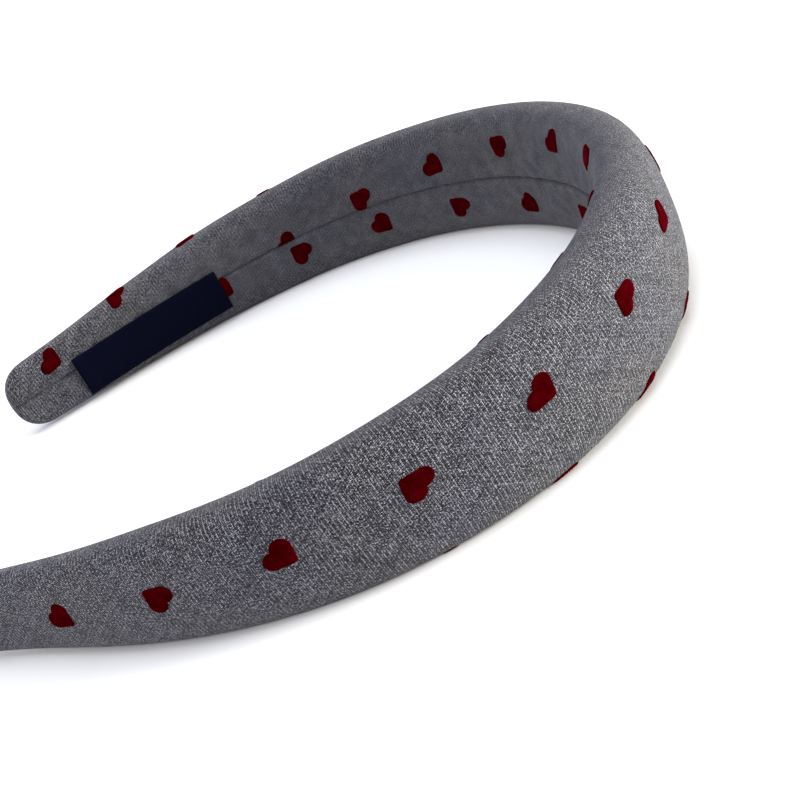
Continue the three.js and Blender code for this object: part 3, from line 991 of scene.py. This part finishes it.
flat_hearts = flat_print(wire, given)
print("flat print:", len(print_tree.nodes), "nodes")

# %% [markdown]
# The second half bends it round the band. The slanted place is looked up twice on the cover's map,
# once for position and once for the normal, and the pile's height is measured along that normal. A
# heart under the band is pressed flat by the floor.

# %% Wrap the print round the band
def wrap(wire, given, flat):
    """The flat print on the cover."""
    position = wire.node("GeometryNodeInputPosition")
    parts = wire.node("ShaderNodeSeparateXYZ", None, {0: position})
    wobble = noise_field(wire, position, 1 / (0.45 * MM), 1.0).out("Color")
    shake = combine(wire, "SUBTRACT", wobble, (0.5, 0.5, 0.5))
    shake = wire.node("ShaderNodeVectorMath", {"operation": "SCALE"}, {0: shake, "Scale": given["Rim wobble"]})
    shaken = wire.node("ShaderNodeSeparateXYZ", None, {0: combine(wire, "ADD", position, shake)})
    x, y = shaken, shaken.out("Y")
    along, around = x + given["Column slant"] * y, y + given["Row slant"] * x

    cloth = wire.node("GeometryNodeObjectInfo", None, {"Object": given["Cover"]}).out("Geometry")
    flat_map = wire.node("GeometryNodeInputNamedAttribute", {"data_type": "FLOAT_VECTOR"}, {"Name": FLAT_MAP})

    def look_up(value, place, kind="FLOAT_VECTOR"):
        return wire.node(
            "GeometryNodeSampleUVSurface",
            {"data_type": kind},
            {"Mesh": cloth, "Value": value, "Source UV Map": flat_map, "Sample UV": place},
        )

    def kept_within(value, limit):
        return wire.math("MINIMUM", wire.math("MAXIMUM", value, 0 - limit), limit)

    near = kept_within(along, given["Print reach"])
    to_seam = wire.node("GeometryNodeInputNamedAttribute", {"data_type": "FLOAT"}, {"Name": SEAM_MAP})
    seam = look_up(to_seam, vector(wire, near, 0.0, 0.0), "FLOAT") - given["Seam margin"]
    on_cloth = vector(wire, near, kept_within(around, seam), 0.0)
    spot = look_up(wire.node("GeometryNodeInputPosition"), on_cloth)
    outwards = look_up(wire.node("GeometryNodeInputNormal"), on_cloth)
    lift = wire.node("ShaderNodeVectorMath", {"operation": "SCALE"}, {0: outwards, "Scale": parts.out("Z")})
    raised = wire.node("ShaderNodeSeparateXYZ", None, {0: combine(wire, "ADD", spot, lift)})
    above_floor = wire.math("MAXIMUM", raised.out("Z"), given["Floor gap"])
    target = vector(wire, raised, raised.out("Y"), above_floor)
    past_end = wire.math("ABSOLUTE", along) > given["Print reach"]
    past_seam = wire.math("ABSOLUTE", around) > seam
    missed = wire.math("MAXIMUM", past_end, past_seam)
    marked = wire.node(
        "GeometryNodeStoreNamedAttribute",
        {"data_type": "BOOLEAN", "domain": "POINT"},
        {"Geometry": flat, "Name": "missed", "Value": missed},
    )
    bent = wire.node("GeometryNodeSetPosition", None, {"Geometry": marked, "Position": target})
    is_missed = wire.node("GeometryNodeInputNamedAttribute", {"data_type": "BOOLEAN"}, {"Name": "missed"})
    return wire.node("GeometryNodeDeleteGeometry", {"domain": "FACE"}, {"Geometry": bent, "Selection": is_missed})


hearts_on_band = wrap(wire, given, flat_hearts)
print("wrapped print:", len(print_tree.nodes), "nodes")

# %% Scatter the tufts of the pile
TUFT_RADIUS = 0.055 * MM
TUFT_LEAN = 0.55  # in radians, the most that a tuft leans


def tufts(wire, given, hearts):
    """Small cones on the hearts, leaning at random."""
    cone = wire.node(
        "GeometryNodeMeshCone",
        {"fill_type": "NGON"},
        {"Vertices": 3, "Radius Top": 0.0, "Radius Bottom": TUFT_RADIUS, "Depth": given["Tuft length"]},
    )
    scattered = wire.node(
        "GeometryNodeDistributePointsOnFaces",
        None,
        {"Mesh": hearts, "Density": given["Tuft density"], "Seed": given["Seed"]},
    )
    lean = wire.node(
        "FunctionNodeRandomValue",
        {"data_type": "FLOAT_VECTOR"},
        {"Min": (-TUFT_LEAN, -TUFT_LEAN, 0.0), "Max": (TUFT_LEAN, TUFT_LEAN, 2 * math.pi), "Seed": given["Seed"]},
    )
    facing = wire.node(
        "FunctionNodeRotateRotation",
        {"rotation_space": "LOCAL"},
        {"Rotation": scattered.out("Rotation"), "Rotate By": wire.node("FunctionNodeEulerToRotation", None, {0: lean})},
    )
    size = wire.node(
        "FunctionNodeRandomValue", {"data_type": "FLOAT"}, {2: 0.6, 3: 1.3, "Seed": given["Seed"]}, output=1
    )
    placed = wire.node(
        "GeometryNodeInstanceOnPoints",
        None,
        {"Points": scattered, "Instance": cone, "Rotation": facing, "Scale": size},
    )
    return wire.node("GeometryNodeRealizeInstances", None, {"Geometry": placed})


def above(wire, given, tufted):
    """Keeps the tufts above the floor too."""
    parts = wire.node("ShaderNodeSeparateXYZ", None, {0: wire.node("GeometryNodeInputPosition")})
    height = wire.math("MAXIMUM", parts.out("Z"), given["Floor gap"])
    return wire.node(
        "GeometryNodeSetPosition", None, {"Geometry": tufted, "Position": vector(wire, parts, parts.out("Y"), height)}
    )


tufted = above(wire, given, tufts(wire, given, hearts_on_band))
joined = wire.node("GeometryNodeJoinGeometry")
for part in (hearts_on_band, tufted):
    print_tree.links.new(part.socket, joined.socket.node.inputs[0])
realized = wire.node("GeometryNodeRealizeInstances", None, {"Geometry": joined})
pile = wire.node("GeometryNodeSetMaterial", None, {"Geometry": realized, "Material": given["Pile"]})
wire.node("NodeGroupOutput", None, {"Geometry": pile})
print("print tree:", len(print_tree.nodes), "nodes")

# %% Print the hearts
HEART_SPACING_ALONG = 22.25 * MM
HEART_SPACING_AROUND = 19.9 * MM
FIRST_HEART_ALONG = 135.5 * MM  # the heart that the others are counted from
FIRST_HEART_AROUND = 7.15 * MM
END_MARGIN = 5 * MM  # bare cloth at each end

columns_behind = math.ceil((HALF_LENGTH + FIRST_HEART_ALONG) / HEART_SPACING_ALONG)
columns_ahead = math.ceil((HALF_LENGTH - FIRST_HEART_ALONG) / HEART_SPACING_ALONG)
rows_each_way = 3
hearts = run_tree("flocked_hearts", print_tree, {
    "Cover": cover,
    "Patch": patch,
    "Pile": flock,
    "Columns": columns_behind + columns_ahead + 1,
    "Rows": 2 * rows_each_way + 1,
    "First turned": (columns_behind + rows_each_way) % 2,
    "First along": FIRST_HEART_ALONG - HEART_SPACING_ALONG * columns_behind,
    "First around": FIRST_HEART_AROUND - HEART_SPACING_AROUND * rows_each_way,
    "Spacing along": HEART_SPACING_ALONG,
    "Spacing around": HEART_SPACING_AROUND,
    "Column slant": -0.036,
    "Row slant": -0.044,
    "Print reach": HALF_LENGTH - END_MARGIN,
    "Seam margin": 0.03 * MM,
    "Rim wobble": 0.16 * MM,
    "Floor gap": 0.02 * MM,
    "Tuft density": 9.0 / MM**2,
    "Tuft length": 0.19 * MM,
    "Seed": 4,
})
bpy.data.objects.remove(patch)
hearts.data.polygons.foreach_set("use_smooth", [True] * len(hearts.data.polygons))
print("hearts:", len(hearts.data.polygons), "faces, box in mm:", [round(side / MM, 1) for side in hearts.dimensions])

# %% [markdown]
# ## The label
#
# A short length of woven satin ribbon lies over the seam on the inner face near one end. Its place
# for words is left bare. It is a strip of cloth of its own thickness, laid on the cover's curve: two
# layers of a grid, closed by a rounded edge, with its cut ends turned under, so they are thicker.

# %% Model the label
LABEL_LENGTH = 42 * MM
LABEL_WIDTH = 11 * MM
LABEL_FROM_END = 18 * MM
LABEL_DROP = 2.5 * MM  # from the seam down to the label's middle line
LABEL_UNDER = 0.3 * MM  # from the cover to the label's underside
LABEL_THICKNESS = 0.55 * MM
LABEL_FOLD = 2.6 * MM  # how much of each end is turned under
LABEL_FOLD_EXTRA = 0.22 * MM
LABEL_ALONG_STEPS = 96
LABEL_ACROSS_STEPS = 30
EDGE_ROUND = 0.3 * MM


def inner_out(along, height):
    """How far out the inner face is at some height."""
    half_width, depth, _ = size_at(along)
    edge = EDGE_SHARE * depth
    share = min(abs(height) / half_width, 1)
    return edge - edge * (1 - share**INNER_FULLNESS) ** (1 / INNER_FULLNESS)


def label_layer(top):
    """One face of the ribbon, as a grid of points."""
    start = -(HALF_LENGTH - LABEL_FROM_END)
    points = []
    for row in np.linspace(0, LABEL_LENGTH, LABEL_ALONG_STEPS + 1):
        to_end = min(row, LABEL_LENGTH - row)
        fold = 1 / (1 + math.exp((to_end - LABEL_FOLD) / (0.15 * MM)))
        for across in np.linspace(-1, 1, LABEL_ACROSS_STEPS + 1):
            to_side = (1 - abs(across)) * LABEL_WIDTH / 2
            rim = min(to_end, to_side)
            roundness = 1 - math.sqrt(max(0.0, 1 - max(0.0, 1 - rim / EDGE_ROUND) ** 2))
            middle = LABEL_UNDER + LABEL_THICKNESS / 2
            thick = LABEL_THICKNESS + LABEL_FOLD_EXTRA * fold
            full = LABEL_UNDER + thick if top else LABEL_UNDER
            lift = full + (middle - full) * roundness * 0.9
            height = -LABEL_DROP + across * LABEL_WIDTH / 2
            wave = 0.05 * MM * wave_noise(row, height, 6 * MM, 11)
            place, out = arch_place(start + row)
            plan = place + out * (inner_out(start + row, height) - lift - wave)
            points.append((*plan, height))
    return points


def label_mesh():
    """Both layers and the rim that joins them."""
    across = LABEL_ACROSS_STEPS + 1
    layer = across * (LABEL_ALONG_STEPS + 1)
    points = rest(np.array(label_layer(False) + label_layer(True)))
    under, over = [], []
    for row in range(LABEL_ALONG_STEPS):
        for step in range(LABEL_ACROSS_STEPS):
            corner = row * across + step
            quad = (corner, corner + 1, corner + across + 1, corner + across)
            under.append(quad)
            over.append(tuple(layer + index for index in reversed(quad)))
    rim = [row * across for row in range(LABEL_ALONG_STEPS)]
    rim += [LABEL_ALONG_STEPS * across + step for step in range(LABEL_ACROSS_STEPS)]
    rim += [row * across + LABEL_ACROSS_STEPS for row in range(LABEL_ALONG_STEPS, 0, -1)]
    rim += [step for step in range(LABEL_ACROSS_STEPS, 0, -1)]
    sides = []
    for index, here in enumerate(rim):
        beside = rim[(index + 1) % len(rim)]
        sides.append((here, beside, beside + layer, here + layer))
    return points, under + over + sides


label = new_piece("ribbon_label", *label_mesh())
label_volume = sum(
    face.area * face.normal.dot(face.center - Vector(label.data.vertices[0].co)) for face in label.data.polygons
)
if label_volume < 0:
    label.data.flip_normals()
print("label:", len(label.data.polygons), "faces, faces pointed", "in" if label_volume < 0 else "out")

# %% [markdown]
# Satin ribbon shows fine ribs across its width and a slight gloss that changes from yarn to yarn. Its
# map is its own row and column in the grid, in metres, so the ribs stay square to its edges.

# %% Weave the dark ribbon
RIBBON_MAP = "flat_ribbon"
RIB_PITCH = 0.22  # in millimetres
RIBBON_DARK = (0.0006, 0.0008, 0.0042)
RIBBON_LIT = (0.0024, 0.0029, 0.0125)


def map_ribbon(piece):
    """Gives each corner its distance along and across the ribbon."""
    across = LABEL_ACROSS_STEPS + 1
    layer = across * (LABEL_ALONG_STEPS + 1)
    indices = np.zeros(len(piece.data.loops), np.int32)
    piece.data.loops.foreach_get("vertex_index", indices)
    in_layer = indices % layer
    flat = np.column_stack([
        in_layer // across * LABEL_LENGTH / LABEL_ALONG_STEPS,
        in_layer % across * LABEL_WIDTH / LABEL_ACROSS_STEPS,
    ])
    piece.data.uv_layers.new(name=RIBBON_MAP).data.foreach_set("uv", flat.astype(np.float32).ravel())


def dark_ribbon():
    """The woven satin of the label."""
    material, wire, shader = new_material(
        "dark_ribbon", {"Specular IOR Level": 0.02, "Sheen Weight": 0.0, "Sheen Roughness": 0.4}
    )
    flat = wire.node("ShaderNodeUVMap", {"uv_map": RIBBON_MAP})
    place = wire.node("ShaderNodeVectorMath", {"operation": "SCALE"}, {0: flat, "Scale": 1 / MM})
    parts = wire.node("ShaderNodeSeparateXYZ", None, {0: place})
    along, across = parts, parts.out("Y")
    warp = wire.math("SINE", across * (2 * math.pi / RIB_PITCH))
    weft = wire.math("SINE", along * (2 * math.pi / (1.4 * RIB_PITCH)) + across * 9.0)
    weave = between(wire, warp * 0.6 + weft * 0.4, -1.0, 1.0)
    stretched = wire.node("ShaderNodeVectorMath", {"operation": "MULTIPLY"}, {0: place, 1: (0.7, 6.0, 1.0)})
    slubs = noise_field(wire, stretched, 1.0, 3.0)
    colour = mix_colours(wire, between(wire, weave * 0.6 + slubs * 0.4, 0.25, 0.75), RIBBON_DARK, RIBBON_LIT)
    roughness = between(wire, slubs, 0.3, 0.7, 0.5, 0.68)
    finish_shader(wire, shader, colour, roughness, [(weave, 0.5, 0.05 * MM)])
    return material


map_ribbon(label)
label.data.materials.append(dark_ribbon())
print("ribbon:", len(label.data.materials[0].node_tree.nodes), "nodes")

# %% [markdown]
# ## Floor and light
#
# The photograph is a cut-out on white, lit softly from the right and the front, with the inner face
# in its own shade. A large pale floor, a white surrounding light and wide soft lamps give most of
# that, and the rest of the inner face's shade is painted shade in the cloth's colour.

# %% Lay the floor
FLOOR_SIZE = 60.0

floor = new_piece("floor", [
    (-FLOOR_SIZE / 2, -FLOOR_SIZE / 2, 0),
    (FLOOR_SIZE / 2, -FLOOR_SIZE / 2, 0),
    (FLOOR_SIZE / 2, FLOOR_SIZE / 2, 0),
    (-FLOOR_SIZE / 2, FLOOR_SIZE / 2, 0),
], [(0, 1, 2, 3)], smooth=False)


def pale_floor():
    """A matt, nearly white surface with the faintest mottle."""
    material, wire, shader = new_material("pale_floor", {"Specular IOR Level": 0.1})
    place = wire.node("ShaderNodeTexCoord").out("Object")
    mottle = noise_field(wire, place, 30, 3.0)
    colour = mix_colours(wire, mottle, (0.87, 0.87, 0.87), (0.9, 0.9, 0.9))
    roughness = between(wire, mottle, 0.0, 1.0, 0.85, 0.95)
    finish_shader(wire, shader, colour, roughness, [(mottle, 0.02, 0.1 * MM)])
    return material


floor.data.materials.append(pale_floor())
print("floor:", FLOOR_SIZE, "m wide")

# %% Set the lights
# Each lamp is a sun: where it stands and how high, in degrees, how wide and soft it is, its strength
# on a surface that faces it, and its colour.
LAMPS = {
    "key_from_the_right": (0, 12, 30, 2.1, (1.0, 0.98, 0.88)),
    "fill_from_the_left": (-120, 40, 30, 0.34, (0.95, 0.97, 1.0)),
    "sky_from_behind": (120, 35, 40, 0.13, (0.3, 0.45, 1.0)),
    "soft_from_above": (0, 90, 50, 0.62, (0.86, 0.93, 1.0)),
}
WORLD_COLOUR = (1.0, 0.93, 0.96)
WORLD_STRENGTH = 0.52

for name, (azimuth, elevation, width, strength, colour) in LAMPS.items():
    lamp = bpy.data.objects.new(name, bpy.data.lights.new(name, "SUN"))
    bpy.context.scene.collection.objects.link(lamp)
    lamp.data.angle = math.radians(width)
    lamp.data.energy = strength * math.pi
    lamp.data.color = colour
    lamp.rotation_euler = (math.radians(90 - elevation), 0, math.radians(azimuth + 90))

world = bpy.data.worlds.new("studio")
bpy.context.scene.world = world
world.use_nodes = True
world.node_tree.nodes["Background"].inputs["Color"].default_value = (*WORLD_COLOUR, 1)
world.node_tree.nodes["Background"].inputs["Strength"].default_value = WORLD_STRENGTH
bpy.context.scene.view_settings.view_transform = "Standard"
print("lamps:", ", ".join(LAMPS))

# %% [markdown]
# ## Attach the pieces
#
# Each piece rides on the one body and takes the place of its solids.

# %% Attach each piece and hide its solids
heart_nodes = sorted(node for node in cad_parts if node.startswith("heart_"))
for piece, slot_name, nodes in (
    (cover, "heather_twill", ["padded_band"]),
    (hearts, "wine_flock", heart_nodes),
    (label, "dark_ribbon", ["label"]),
):
    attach(piece, "root")
    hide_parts(*nodes)
